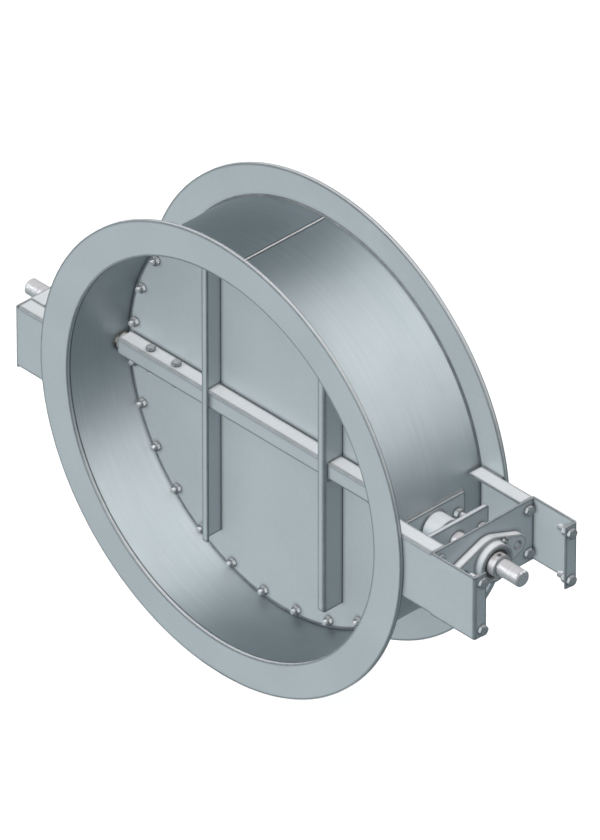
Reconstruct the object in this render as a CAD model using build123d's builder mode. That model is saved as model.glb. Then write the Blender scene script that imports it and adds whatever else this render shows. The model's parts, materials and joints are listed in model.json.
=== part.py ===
from build123d import *
import math
import os

# A bubble-tight damper: a round blade that turns in a short flanged length of duct.
# X runs along the shaft towards the drive end, Y along the duct from front to rear, Z is up.
# The origin is where the shaft axis crosses the duct axis. Sizes are in millimetres.

# Duct casing and its two flanges
bore_radius = 304.8
casing_wall = 4.8
flange_width = 52.6
flange_thickness = 6.35
face_to_face = 208.0

# Stub shafts, and the square tube that joins them across the blade
shaft_diameter = 25.4
shaft_overhang = 76.5
shaft_chamfer = 2.0
shaft_end_relief = 0.2
shaft_end_stand = 1.0
beam_side = 28.0
beam_wall = 3.0
beam_corner = 4.0
beam_end_gap = 7.3
beam_bolt_inset = 52.1
beam_bolt_pitch = 51.4
spigot_past_bolt = 18.0
spigot_gap = 0.1

# Blade, gasket, retaining ring and the seat in the casing
blade_thickness = 6.0
gasket_thickness = 3.0
gasket_width = 24.0
retainer_thickness = 4.0
retainer_width = 21.0
seat_height = 1.2
seat_margin = 1.0
seal_gap = 0.3
blade_edge_gap = 0.9
rim_bolt_count = 28
rim_bolt_inset = 12.8
rim_bolt_tip = 5.2

# Folded stiffeners on the blade
stiffener_offset = 122.4
stiffener_height = 466.0
stiffener_depth = 36.0
stiffener_lip = 12.5
stiffener_wall = 3.0
stiffener_bend = 3.7
notch_gap = 1.0

# Bracket arms, bearing plates and the flanges for an actuator
arm_height = 102.0
arm_wall = 3.2
arm_flange = 26.0
arm_bend = 4.0
arm_end_gap = 0.4
plate_reach = 103.4
plate_thickness = 3.0
plate_side_gap = 0.4
plate_fold = 28.0
lug_thickness = 4.0
plate_bolt_inset = 13.6
plate_bolt_drop = 15.4
actuator_reach = 82.0
end_flange = 22.0
end_bolt_drop = 12.0
end_bolt_length = 22.0

# Flange bearings
bearing_base = 14.0
bearing_boss_height = 27.0
bearing_boss_inset = 3.5
bearing_boss_taper = 6.0
bearing_body_radius = 34.0
bearing_edge_round = 1.6
bearing_ear_radius = 16.0
bearing_ear_spacing = 102.0
bearing_centre = 15.9
insert_radius = 26.0
insert_width = 17.0
insert_gap = 0.1
ring_wall = 4.4
ring_inboard = 14.3
ring_outboard = 19.8
race_wall = 3.9
seal_width = 1.6
seal_inset = 0.8
set_screw_diameter = 6.0
set_screw_inset = 5.0
bearing_bolt_diameter = 11.1
bearing_bolt_flats = 15.9
bearing_bolt_head = 7.0
bearing_bolt_recess = 3.0
nipple_diameter = 6.0
nipple_flats = 8.0
nipple_flats_height = 4.0
nipple_tip_height = 4.0
nipple_tip_taper = 6.0
nipple_stem = 3.5
nipple_stand = 6.0
nipple_angle = 50.0

# Stuffing boxes and glands
bush_wall = 0.9
bush_overhang = 3.5
pad_thickness = 4.4
pad_length = 121.0
pad_height = 56.0
pad_corner = 2.0
packing_size = 6.3
packing_count = 3
packing_gap = 0.1
stuffing_wall = 4.0
stuffing_length = 32.0
gland_gap = 6.7
gland_thickness = 7.3
nose_gap = 0.15
gland_bolt_spacing = 91.0
stud_tip = 6.0
stud_seat = 0.3

# Hexagon fasteners in two sizes
small_bolt_diameter = 7.9
small_bolt_flats = 12.7
small_bolt_head = 5.3
small_nut_height = 6.8
large_bolt_diameter = 9.5
large_bolt_flats = 14.3
large_bolt_head = 6.2
large_nut_height = 8.3
bolt_tip = 4.0

# Clearances: shaft in its bushes, bolt in a plain hole, thread in a nut
running_gap = 0.05
hole_gap = 0.4
thread_gap = 0.1

# A corner this near a place counts as lying there
corner_reach = 0.05

# Places along the duct, from the shaft axis
flange_inner_face = face_to_face / 2 - flange_thickness
blade_front = beam_side / 2
blade_back = blade_front + blade_thickness
gasket_back = blade_back + gasket_thickness
retainer_back = gasket_back + retainer_thickness
seat_front = blade_front + seat_margin
seat_back = retainer_back + seat_margin

# Radii about the duct axis
casing_radius = bore_radius + casing_wall
flange_radius = bore_radius + flange_width
seat_sphere = bore_radius - seat_height
blade_sphere = seat_sphere - blade_edge_gap
rim_bolt_circle = bore_radius - rim_bolt_inset

# Places along the shaft, from the duct axis
beam_end = bore_radius - beam_end_gap
outer_beam_bolt = beam_end - beam_bolt_inset
inner_beam_bolt = outer_beam_bolt - beam_bolt_pitch
arm_start = casing_radius + arm_end_gap
plate_outer = casing_radius + plate_reach
plate_inner = plate_outer - plate_thickness
actuator_face = plate_outer + actuator_reach
shaft_end = plate_outer + shaft_overhang
pad_face = casing_radius + pad_thickness
pad_root = math.sqrt(casing_radius**2 - pad_height**2)
stuffing_end = pad_face + stuffing_length
gland_inner = stuffing_end + gland_gap
gland_outer = gland_inner + gland_thickness
insert_centre = plate_outer + bearing_centre
ring_end = insert_centre + ring_outboard
shaft_end_start = ring_end + shaft_end_stand

# Radii about the shaft axis
shaft_radius = shaft_diameter / 2
shaft_end_radius = shaft_radius - shaft_end_relief
running_radius = shaft_radius + running_gap
bush_radius = running_radius + bush_wall
chamber_radius = running_radius + packing_size
ring_radius = shaft_radius + ring_wall
race_radius = insert_radius - race_wall
boss_radius = bearing_body_radius - bearing_boss_inset

# Bolt places on the bracket: distance to each side of the shaft, and above and below it
web_inner_face = flange_inner_face - arm_wall
arm_lip_edge = flange_inner_face - arm_flange
plate_half_width = web_inner_face - plate_side_gap
bracket_bolt_side = flange_inner_face - plate_bolt_inset
plate_bolt_rise = arm_height / 2 - plate_bolt_drop
end_bolt_rise = arm_height / 2 - end_bolt_drop

DRIVE = 1
IDLER = -1
FRONT = -1
REAR = 1


def duct_plane(y):
    """A plane square to the duct at y, facing the front, with X and Z as its own directions."""
    return Plane(origin=(0, y, 0), x_dir=(1, 0, 0), z_dir=(0, -1, 0))


def shaft_plane(side, x):
    """A plane square to the shaft at x on one side, facing outboard, with Y as its first direction."""
    return Plane(origin=(side * x, 0, 0), x_dir=(0, 1, 0), z_dir=(side, 0, 0))


def sphere_reach(sphere, y):
    """The radius about the duct axis at which a sphere round the origin passes the place y."""
    return math.sqrt(sphere**2 - y**2)


def save(piece, name):
    """Label a finished piece and write its file."""
    piece.part.label = name
    export_step(piece.part, f"parts/{name}.step")


# Casing

with BuildPart() as casing_shell:
    with BuildSketch(duct_plane(flange_inner_face)):
        Circle(casing_radius)
        Circle(bore_radius, mode=Mode.SUBTRACT)
    extrude(amount=2 * flange_inner_face)
    with BuildSketch(Plane.YZ):
        Circle(bush_radius)
    extrude(amount=casing_radius, both=True, mode=Mode.SUBTRACT)
save(casing_shell, "casing_shell")


def make_flange(back):
    """One plain flange ring, standing forward from the place of its rear face."""
    with BuildPart() as ring:
        with BuildSketch(duct_plane(back)):
            Circle(flange_radius)
            Circle(bore_radius, mode=Mode.SUBTRACT)
        extrude(amount=flange_thickness)
    return ring


save(make_flange(-flange_inner_face), "front_flange")
save(make_flange(face_to_face / 2), "rear_flange")

# The seat is a shallow ring on the bore. Both edges of its inside lie on a sphere round the origin,
# and the face between them bows a little further in.
with BuildPart() as seat_ring:
    with BuildSketch(Plane.XY):
        with BuildLine():
            seat_profile_front = (sphere_reach(seat_sphere, seat_front), seat_front)
            seat_profile_back = (sphere_reach(seat_sphere, seat_back), seat_back)
            Polyline(
                seat_profile_front,
                (bore_radius, seat_front),
                (bore_radius, seat_back),
                seat_profile_back,
            )
            RadiusArc(seat_profile_back, seat_profile_front, -seat_sphere)
        make_face()
    revolve(axis=Axis.Y)
save(seat_ring, "seat_ring")


# Bracket arms

def corners_at(x):
    """The corners of the sketch in hand that lie at one place along its first direction."""
    return vertices().filter_by_position(Axis.X, x - corner_reach, x + corner_reach)


def make_arm(side, end, web_end):
    """One folded channel arm, welded by its web to the inner face of a flange."""
    inner_bend = arm_bend - arm_wall
    lip = arm_flange - arm_wall
    with BuildPart() as arm:
        with BuildSketch(shaft_plane(side, arm_start)):
            with Locations((end * (flange_inner_face - arm_flange / 2), 0)):
                Rectangle(arm_flange, arm_height)
            with Locations((end * (web_inner_face - lip / 2), 0)):
                Rectangle(lip, arm_height - 2 * arm_wall, mode=Mode.SUBTRACT)
            fillet(corners_at(end * web_inner_face), inner_bend)
            fillet(corners_at(end * flange_inner_face), arm_bend)
        extrude(amount=plate_inner - arm_start)
        # The lug behind the bearing plate
        with BuildSketch(shaft_plane(side, plate_inner - lug_thickness)):
            with Locations((end * (web_inner_face - lip / 2), 0)):
                Rectangle(lip, arm_height - 2 * arm_wall)
        extrude(amount=lug_thickness)
        # The plain web that runs on past the folded edges
        web_run = web_end - plate_inner
        with BuildSketch(Plane.XY.offset(-arm_height / 2)):
            with Locations((side * (plate_inner + web_run / 2), end * (web_inner_face + arm_wall / 2))):
                Rectangle(web_run, arm_wall)
            if side == DRIVE:
                with Locations((web_end - arm_wall / 2, end * (flange_inner_face - end_flange / 2))):
                    Rectangle(arm_wall, end_flange)
                fillet(corners_at(web_end).sort_by(Axis.Y)[-1 if end == REAR else 0], arm_bend)
        extrude(amount=arm_height)
        with BuildSketch(shaft_plane(side, plate_inner)):
            with Locations(
                (end * bracket_bolt_side, plate_bolt_rise),
                (end * bracket_bolt_side, -plate_bolt_rise),
            ):
                Circle(large_bolt_diameter / 2 + hole_gap)
        extrude(amount=-lug_thickness, mode=Mode.SUBTRACT)
        if side == DRIVE:
            with BuildSketch(shaft_plane(side, web_end)):
                with Locations(
                    (end * bracket_bolt_side, end_bolt_rise),
                    (end * bracket_bolt_side, -end_bolt_rise),
                ):
                    Circle(large_bolt_diameter / 2 + hole_gap)
            extrude(amount=-arm_wall, mode=Mode.SUBTRACT)
    return arm


save(make_arm(DRIVE, FRONT, actuator_face), "drive_arm_front")
save(make_arm(DRIVE, REAR, actuator_face), "drive_arm_rear")
save(make_arm(IDLER, FRONT, plate_outer), "idler_arm_front")
save(make_arm(IDLER, REAR, plate_outer), "idler_arm_rear")


# Bearing plates

def make_bearing_plate(side, folded):
    """The plate between the arms that carries a bearing; one of the two has folded edges."""
    with BuildPart() as plate:
        with BuildSketch(shaft_plane(side, plate_inner)):
            Rectangle(2 * plate_half_width, arm_height)
        extrude(amount=plate_thickness)
        if folded:
            fold_half_width = arm_lip_edge - plate_side_gap
            with BuildSketch(duct_plane(fold_half_width)):
                with Locations((side * (plate_outer - plate_fold / 2), 0)):
                    Rectangle(plate_fold, arm_height)
                with Locations((side * (plate_inner - plate_fold / 2), 0)):
                    Rectangle(plate_fold, arm_height - 2 * plate_thickness, mode=Mode.SUBTRACT)
                fillet(corners_at(side * plate_inner), arm_bend - plate_thickness)
            extrude(amount=2 * fold_half_width)
        with BuildSketch(shaft_plane(side, plate_inner)):
            Circle(ring_radius)
            with GridLocations(2 * bracket_bolt_side, 2 * plate_bolt_rise, 2, 2):
                Circle(large_bolt_diameter / 2 + hole_gap)
            with GridLocations(bearing_ear_spacing, 0, 2, 1):
                Circle(bearing_bolt_diameter / 2 + hole_gap)
        extrude(amount=plate_thickness, mode=Mode.SUBTRACT)
    return plate


save(make_bearing_plate(DRIVE, False), "drive_bearing_plate")
save(make_bearing_plate(IDLER, True), "idler_bearing_plate")


# Flange bearings

def nipple_plane(side):
    """The plane on which a grease nipple stands, on the boss above the ear at the rear."""
    angle = math.radians(nipple_angle)
    root = Plane(
        origin=(side * (plate_outer + bearing_base + nipple_stand), 0, 0),
        x_dir=(1, 0, 0),
        z_dir=(0, math.cos(angle), math.sin(angle)),
    )
    return root.offset(boss_radius)


def make_bearing_housing(side):
    """A cast two-bolt housing whose bore is part of a sphere, so that the insert can align."""
    # The rounds at the foot of the boss and along the base share the step between them
    edge_round = min(bearing_edge_round, 0.45 * bearing_boss_inset)
    with BuildPart() as housing:
        with BuildSketch(shaft_plane(side, plate_outer)):
            Circle(bearing_body_radius)
            with GridLocations(bearing_ear_spacing, 0, 2, 1):
                Circle(bearing_ear_radius)
            make_hull()
        extrude(amount=bearing_base)
        base_face = faces().sort_by(Axis.X)[-1 if side == DRIVE else 0]
        fillet(base_face.edges(), edge_round)
        with BuildSketch(shaft_plane(side, plate_outer + bearing_base)):
            Circle(boss_radius)
        extrude(amount=bearing_boss_height - bearing_base, taper=bearing_boss_taper)
        boss_circles = edges().filter_by(GeomType.CIRCLE).filter_by(Plane.YZ).sort_by(Axis.X)
        boss_mouth = boss_circles[-1 if side == DRIVE else 0]
        boss_foot = boss_circles.sort_by(SortBy.LENGTH)[-1]
        fillet([boss_foot, boss_mouth], edge_round)
        with Locations(shaft_plane(side, insert_centre)):
            Sphere(insert_radius + insert_gap, mode=Mode.SUBTRACT)
        with BuildSketch(shaft_plane(side, plate_outer)):
            with GridLocations(bearing_ear_spacing, 0, 2, 1):
                Circle(bearing_bolt_diameter / 2 + thread_gap)
        extrude(amount=bearing_base, mode=Mode.SUBTRACT)
        with BuildSketch(nipple_plane(side)):
            Circle(nipple_diameter / 2 + thread_gap)
        extrude(amount=-nipple_stem, mode=Mode.SUBTRACT)
    return housing


def make_outer_ring(side):
    """The bearing's outer ring, a spherical band that sits in the housing."""
    with BuildPart(shaft_plane(side, insert_centre)) as ring:
        Cylinder(insert_radius, insert_width)
        Sphere(insert_radius, mode=Mode.INTERSECT)
        Cylinder(race_radius, insert_width, mode=Mode.SUBTRACT)
    return ring


def make_bearing_seals(side):
    """The two rubber rings that close the bearing between its rings."""
    seal_place = insert_width / 2 - seal_inset - seal_width / 2
    with BuildPart(shaft_plane(side, insert_centre)) as seals:
        with Locations((0, 0, seal_place), (0, 0, -seal_place)):
            Cylinder(race_radius, seal_width)
        Cylinder(ring_radius + running_gap, insert_width, mode=Mode.SUBTRACT)
    return seals


def make_inner_ring(side):
    """The bearing's wide inner ring, which turns with the shaft."""
    screw_place = ring_end - set_screw_inset
    with BuildPart() as ring:
        with BuildSketch(shaft_plane(side, insert_centre - ring_inboard)):
            Circle(ring_radius)
            Circle(shaft_radius, mode=Mode.SUBTRACT)
        extrude(amount=ring_inboard + ring_outboard)
        for direction in ((0, 0, 1), (0, 1, 0)):
            with BuildSketch(Plane(origin=(side * screw_place, 0, 0), x_dir=(1, 0, 0), z_dir=direction)):
                Circle(set_screw_diameter / 2 + thread_gap)
            extrude(amount=ring_radius, mode=Mode.SUBTRACT)
    return ring


for side, side_name in ((DRIVE, "drive"), (IDLER, "idler")):
    save(make_bearing_housing(side), f"{side_name}_bearing_housing")
    save(make_outer_ring(side), f"{side_name}_bearing_outer_ring")
    save(make_bearing_seals(side), f"{side_name}_bearing_seals")
    save(make_inner_ring(side), f"{side_name}_bearing_inner_ring")

with BuildPart() as set_screws:
    for side in (DRIVE, IDLER):
        screw_place = side * (ring_end - set_screw_inset)
        for direction in ((0, 0, 1), (0, 1, 0)):
            with BuildSketch(
                Plane(origin=(screw_place, 0, 0), x_dir=(1, 0, 0), z_dir=direction).offset(shaft_radius)
            ):
                Circle(set_screw_diameter / 2)
            extrude(amount=ring_wall)
save(set_screws, "bearing_set_screws")

with BuildPart() as grease_nipples:
    for side in (DRIVE, IDLER):
        with BuildSketch(nipple_plane(side)):
            Circle(nipple_diameter / 2)
        extrude(amount=-nipple_stem)
        with BuildSketch(nipple_plane(side)):
            RegularPolygon(nipple_flats / 2, 6, major_radius=False)
        extrude(amount=nipple_flats_height)
        with BuildSketch(nipple_plane(side).offset(nipple_flats_height)):
            Circle(nipple_diameter / 2)
        extrude(amount=nipple_tip_height, taper=nipple_tip_taper)
save(grease_nipples, "grease_nipples")


# Stuffing boxes

def make_bush(side):
    """The thin throat bush that guides the shaft through the casing wall."""
    with BuildPart() as bush:
        with BuildSketch(shaft_plane(side, bore_radius - bush_overhang)):
            Circle(bush_radius)
            Circle(running_radius, mode=Mode.SUBTRACT)
        extrude(amount=pad_face - bore_radius + bush_overhang)
    return bush


def make_stuffing_box(side):
    """A saddle pad welded to the casing, with the tube that holds the packing."""
    with BuildPart() as box:
        with BuildSketch(shaft_plane(side, pad_face)):
            RectangleRounded(pad_length, pad_height, pad_corner)
        extrude(amount=pad_root - pad_face)
        with BuildSketch(duct_plane(pad_length / 2)):
            Circle(casing_radius)
        extrude(amount=pad_length, mode=Mode.SUBTRACT)
        with BuildSketch(shaft_plane(side, pad_face)):
            Circle(chamber_radius + stuffing_wall)
            Circle(chamber_radius, mode=Mode.SUBTRACT)
        extrude(amount=stuffing_length)
        with BuildSketch(shaft_plane(side, pad_face)):
            Circle(bush_radius)
            with GridLocations(gland_bolt_spacing, 0, 2, 1):
                Circle(large_bolt_diameter / 2 + thread_gap)
        extrude(amount=pad_root - pad_face, mode=Mode.SUBTRACT)
    return box


def make_packing(side):
    """Square-section rings of packing, laid one on the next round the shaft."""
    ring_planes = [shaft_plane(side, pad_face + index * packing_size) for index in range(packing_count)]
    with BuildPart() as packing:
        with BuildSketch(*ring_planes):
            Circle(chamber_radius)
            Circle(running_radius, mode=Mode.SUBTRACT)
        extrude(amount=packing_size - packing_gap)
    return packing


def make_gland(side):
    """The follower: a plate whose nose presses on the packing."""
    nose_end = pad_face + packing_count * packing_size
    with BuildPart() as gland:
        with BuildSketch(shaft_plane(side, gland_inner)):
            RectangleRounded(pad_length, pad_height, pad_corner)
        extrude(amount=gland_thickness)
        with BuildSketch(shaft_plane(side, nose_end)):
            Circle(chamber_radius - nose_gap)
        extrude(amount=gland_inner - nose_end)
        with BuildSketch(shaft_plane(side, nose_end)):
            Circle(running_radius)
        extrude(amount=gland_outer - nose_end, mode=Mode.SUBTRACT)
        with BuildSketch(shaft_plane(side, gland_inner)):
            with GridLocations(gland_bolt_spacing, 0, 2, 1):
                Circle(large_bolt_diameter / 2 + hole_gap)
        extrude(amount=gland_thickness, mode=Mode.SUBTRACT)
    return gland


for side, side_name in ((DRIVE, "drive"), (IDLER, "idler")):
    save(make_bush(side), f"{side_name}_throat_bush")
    save(make_stuffing_box(side), f"{side_name}_stuffing_box")
    save(make_packing(side), f"{side_name}_packing")
    save(make_gland(side), f"{side_name}_gland")


# Fasteners

def make_bolts(planes, spots, diameter, flats, head, length):
    """Hexagon bolts with their heads seated on each plane and their shanks going down through it."""
    with BuildPart() as bolts:
        with BuildSketch(*planes):
            with Locations(*spots):
                RegularPolygon(flats / 2, 6, major_radius=False)
        extrude(amount=head)
        with BuildSketch(*planes):
            with Locations(*spots):
                Circle(diameter / 2)
        extrude(amount=-length)
    return bolts


def make_nuts(planes, spots, diameter, flats, height):
    """Hexagon nuts seated on each plane."""
    with BuildPart() as nuts:
        with BuildSketch(*planes):
            with Locations(*spots):
                RegularPolygon(flats / 2, 6, major_radius=False)
            with Locations(*spots):
                Circle(diameter / 2 + thread_gap, mode=Mode.SUBTRACT)
        extrude(amount=height)
    return nuts


def both_sides(x):
    """The planes square to the shaft at x on the drive side and on the idler side."""
    return [shaft_plane(DRIVE, x), shaft_plane(IDLER, x)]


def facing_inboard(x):
    """The same two planes, turned to face the duct."""
    return [
        Plane(origin=(side * x, 0, 0), x_dir=(0, 1, 0), z_dir=(-side, 0, 0))
        for side in (DRIVE, IDLER)
    ]


def four_spots(first, second):
    """The four spots at plus and minus two distances."""
    return [(a, b) for a in (-first, first) for b in (-second, second)]


def two_spots(spacing):
    """Two spots in line with the duct, one each side of the shaft."""
    return [(-spacing / 2, 0), (spacing / 2, 0)]


small_bolt = (small_bolt_diameter, small_bolt_flats, small_bolt_head)
small_nut = (small_bolt_diameter, small_bolt_flats, small_nut_height)
large_bolt = (large_bolt_diameter, large_bolt_flats, large_bolt_head)
large_nut = (large_bolt_diameter, large_bolt_flats, large_nut_height)
bearing_bolt = (bearing_bolt_diameter, bearing_bolt_flats, bearing_bolt_head)

with BuildPart() as gland_studs:
    with BuildSketch(*both_sides(casing_radius + stud_seat)):
        with Locations(*two_spots(gland_bolt_spacing)):
            Circle(large_bolt_diameter / 2)
    extrude(amount=gland_outer + large_nut_height + stud_tip - casing_radius - stud_seat)
save(gland_studs, "gland_studs")

gland_nut_seats = both_sides(pad_face) + both_sides(gland_outer)
save(make_nuts(gland_nut_seats, two_spots(gland_bolt_spacing), *large_nut), "gland_nuts")

plate_spots = four_spots(bracket_bolt_side, plate_bolt_rise)
plate_grip = plate_thickness + lug_thickness
plate_bolt_length = plate_grip + large_nut_height + bolt_tip
plate_nut_seats = facing_inboard(plate_outer - plate_grip)
save(make_bolts(both_sides(plate_outer), plate_spots, *large_bolt, plate_bolt_length), "bearing_plate_bolts")
save(make_nuts(plate_nut_seats, plate_spots, *large_nut), "bearing_plate_nuts")

# The bearing bolts come from behind the plate and are screwed into the ears.
bearing_bolt_length = plate_thickness + bearing_base - bearing_bolt_recess
bearing_bolt_seats = facing_inboard(plate_inner)
save(
    make_bolts(bearing_bolt_seats, two_spots(bearing_ear_spacing), *bearing_bolt, bearing_bolt_length),
    "bearing_bolts",
)

actuator_spots = four_spots(bracket_bolt_side, end_bolt_rise)
actuator_bolt_seats = [shaft_plane(DRIVE, actuator_face)]
actuator_nut_seats = [facing_inboard(actuator_face - arm_wall)[0]]
save(make_bolts(actuator_bolt_seats, actuator_spots, *large_bolt, end_bolt_length), "actuator_bolts")
save(make_nuts(actuator_nut_seats, actuator_spots, *large_nut), "actuator_nuts")


# Blade

half_step = math.pi / rim_bolt_count
rim_spots = [
    (
        rim_bolt_circle * math.cos(half_step * (2 * index + 1)),
        rim_bolt_circle * math.sin(half_step * (2 * index + 1)),
    )
    for index in range(rim_bolt_count)
]

with BuildPart() as blade_plate:
    with BuildSketch(duct_plane(blade_back)):
        Circle(sphere_reach(blade_sphere, blade_back))
        with Locations(*rim_spots):
            Circle(small_bolt_diameter / 2 + hole_gap, mode=Mode.SUBTRACT)
    extrude(amount=blade_thickness)
save(blade_plate, "blade_plate")

# Both corners of the gasket's edge lie on a sphere just inside the seat, so it can turn free of it.
with BuildPart() as blade_gasket:
    gasket_sphere = seat_sphere - seal_gap
    gasket_inner = sphere_reach(gasket_sphere, gasket_back) - gasket_width
    with BuildSketch(Plane.XY):
        with BuildLine():
            gasket_profile_front = (sphere_reach(gasket_sphere, blade_back), blade_back)
            gasket_profile_back = (sphere_reach(gasket_sphere, gasket_back), gasket_back)
            Polyline(
                gasket_profile_front,
                (gasket_inner, blade_back),
                (gasket_inner, gasket_back),
                gasket_profile_back,
            )
            RadiusArc(gasket_profile_back, gasket_profile_front, -gasket_sphere)
        make_face()
    revolve(axis=Axis.Y)
    with BuildSketch(duct_plane(gasket_back)):
        with Locations(*rim_spots):
            Circle(small_bolt_diameter / 2 + hole_gap)
    extrude(amount=gasket_thickness, mode=Mode.SUBTRACT)
save(blade_gasket, "blade_gasket")

with BuildPart() as retainer_ring:
    retainer_radius = sphere_reach(blade_sphere, retainer_back)
    with BuildSketch(duct_plane(retainer_back)):
        Circle(retainer_radius)
        Circle(retainer_radius - retainer_width, mode=Mode.SUBTRACT)
        with Locations(*rim_spots):
            Circle(small_bolt_diameter / 2 + hole_gap, mode=Mode.SUBTRACT)
    extrude(amount=retainer_thickness)
save(retainer_ring, "retainer_ring")

rim_bolt_seats = [Plane(origin=(0, retainer_back, 0), x_dir=(-1, 0, 0), z_dir=(0, 1, 0))]
rim_bolt_length = retainer_back - blade_front + small_nut_height + rim_bolt_tip
save(make_bolts(rim_bolt_seats, rim_spots, *small_bolt, rim_bolt_length), "rim_bolts")
save(make_nuts([duct_plane(blade_front)], rim_spots, *small_nut), "rim_nuts")


def make_stiffener(side):
    """A folded angle on the blade, with its lip turned to the middle and a notch for the tube."""
    lip_front = blade_front - stiffener_depth
    web_middle = stiffener_offset - stiffener_wall / 2
    with BuildPart() as stiffener:
        with BuildSketch(Plane.XY.offset(-stiffener_height / 2)):
            with Locations((side * web_middle, blade_front - stiffener_depth / 2)):
                Rectangle(stiffener_wall, stiffener_depth)
            with Locations((side * (stiffener_offset - stiffener_lip / 2), lip_front + stiffener_wall / 2)):
                Rectangle(stiffener_lip, stiffener_wall)
            outer_corner = corners_at(side * stiffener_offset).sort_by(Axis.Y)[0]
            fillet(outer_corner, stiffener_bend)
        extrude(amount=stiffener_height)
        with BuildSketch(Plane.YZ):
            Rectangle(beam_side + 2 * notch_gap, beam_side + 2 * notch_gap)
        extrude(amount=side * (stiffener_offset + notch_gap), mode=Mode.SUBTRACT)
    return stiffener


save(make_stiffener(DRIVE), "drive_side_stiffener")
save(make_stiffener(IDLER), "idler_side_stiffener")

# Shaft tube and stub shafts

beam_bolt_spots = [(side * x, 0) for side in (IDLER, DRIVE) for x in (outer_beam_bolt, inner_beam_bolt)]
spigot_radius = beam_side / 2 - beam_wall - spigot_gap
spigot_start = inner_beam_bolt - spigot_past_bolt

with BuildPart() as shaft_tube:
    with BuildSketch(shaft_plane(IDLER, beam_end)):
        RectangleRounded(beam_side, beam_side, beam_corner)
        RectangleRounded(
            beam_side - 2 * beam_wall, beam_side - 2 * beam_wall, beam_corner - beam_wall, mode=Mode.SUBTRACT
        )
    extrude(amount=-2 * beam_end)
    with BuildSketch(Plane.XY):
        with Locations(*beam_bolt_spots):
            Circle(small_bolt_diameter / 2 + hole_gap)
    extrude(amount=beam_side, both=True, mode=Mode.SUBTRACT)
save(shaft_tube, "shaft_tube")


def make_shaft(side):
    """A stub shaft, turned down to a spigot in the tube and a little at its free end for a coupling."""
    profile = [
        (spigot_start, 0),
        (spigot_start, spigot_radius),
        (beam_end, spigot_radius),
        (beam_end, shaft_radius),
        (shaft_end_start, shaft_radius),
        (shaft_end_start + shaft_end_relief, shaft_end_radius),
        (shaft_end - shaft_chamfer, shaft_end_radius),
        (shaft_end, shaft_end_radius - shaft_chamfer),
        (shaft_end, 0),
    ]
    with BuildPart() as shaft:
        with BuildSketch(Plane.XY):
            with BuildLine():
                Polyline(*[(side * x, radius) for x, radius in profile], close=True)
            make_face()
        revolve(axis=Axis.X)
        with BuildSketch(Plane.XY):
            with Locations((side * outer_beam_bolt, 0), (side * inner_beam_bolt, 0)):
                Circle(small_bolt_diameter / 2 + thread_gap)
        extrude(amount=beam_side, both=True, mode=Mode.SUBTRACT)
    return shaft


save(make_shaft(DRIVE), "drive_shaft")
save(make_shaft(IDLER), "idler_shaft")

beam_bolt_length = beam_side + small_nut_height + bolt_tip
beam_nut_seats = [Plane(origin=(0, 0, -beam_side / 2), x_dir=(1, 0, 0), z_dir=(0, 0, -1))]
save(
    make_bolts([Plane.XY.offset(beam_side / 2)], beam_bolt_spots, *small_bolt, beam_bolt_length),
    "beam_bolts",
)
save(make_nuts(beam_nut_seats, beam_bolt_spots, *small_nut), "beam_nuts")
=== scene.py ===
import json
import math
import random

import bmesh
import bpy
import numpy as np
from mathutils import Matrix, Vector

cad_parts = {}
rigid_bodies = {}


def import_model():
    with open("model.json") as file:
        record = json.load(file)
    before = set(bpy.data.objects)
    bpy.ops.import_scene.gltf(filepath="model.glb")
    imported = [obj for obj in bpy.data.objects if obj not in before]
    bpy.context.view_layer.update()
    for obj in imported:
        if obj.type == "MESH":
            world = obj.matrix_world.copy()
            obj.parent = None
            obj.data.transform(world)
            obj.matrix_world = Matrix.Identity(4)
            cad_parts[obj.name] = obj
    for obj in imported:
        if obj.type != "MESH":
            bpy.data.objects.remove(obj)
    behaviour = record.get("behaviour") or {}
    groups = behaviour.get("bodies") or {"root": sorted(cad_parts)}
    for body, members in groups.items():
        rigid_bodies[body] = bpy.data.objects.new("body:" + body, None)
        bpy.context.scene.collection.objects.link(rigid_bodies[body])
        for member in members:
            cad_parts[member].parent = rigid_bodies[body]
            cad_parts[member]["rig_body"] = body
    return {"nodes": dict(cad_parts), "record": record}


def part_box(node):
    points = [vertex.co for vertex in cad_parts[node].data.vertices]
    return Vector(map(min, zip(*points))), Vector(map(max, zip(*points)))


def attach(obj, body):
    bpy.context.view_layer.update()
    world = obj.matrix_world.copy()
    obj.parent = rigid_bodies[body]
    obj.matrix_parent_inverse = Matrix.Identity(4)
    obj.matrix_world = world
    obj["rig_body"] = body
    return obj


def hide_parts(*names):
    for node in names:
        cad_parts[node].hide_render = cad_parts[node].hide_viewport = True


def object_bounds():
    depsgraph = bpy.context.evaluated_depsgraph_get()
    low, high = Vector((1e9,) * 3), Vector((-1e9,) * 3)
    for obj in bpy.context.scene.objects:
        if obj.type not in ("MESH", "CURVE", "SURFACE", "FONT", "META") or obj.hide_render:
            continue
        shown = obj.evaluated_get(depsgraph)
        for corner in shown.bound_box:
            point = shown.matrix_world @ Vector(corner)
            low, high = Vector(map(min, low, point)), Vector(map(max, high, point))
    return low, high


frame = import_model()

# The looks of a bubble-tight damper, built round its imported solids. Sizes are in metres.
# X runs along the shaft towards the drive end, Y along the duct from front to rear, Z is up.

cad_low, cad_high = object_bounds()
random.seed(7)

MM = 0.001
X_AXIS, Y_AXIS, Z_AXIS = Vector((1, 0, 0)), Vector((0, 1, 0)), Vector((0, 0, 1))
DRIVE, IDLER = 1, -1
FRONT, REAR = -1, 1

# Points of a CAD mesh nearer than this are one corner
SAME_POINT = 0.002 * MM


def high_corner(node):
    """The corner of a CAD node's box that is highest along every axis."""
    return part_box(node)[1]


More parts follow.
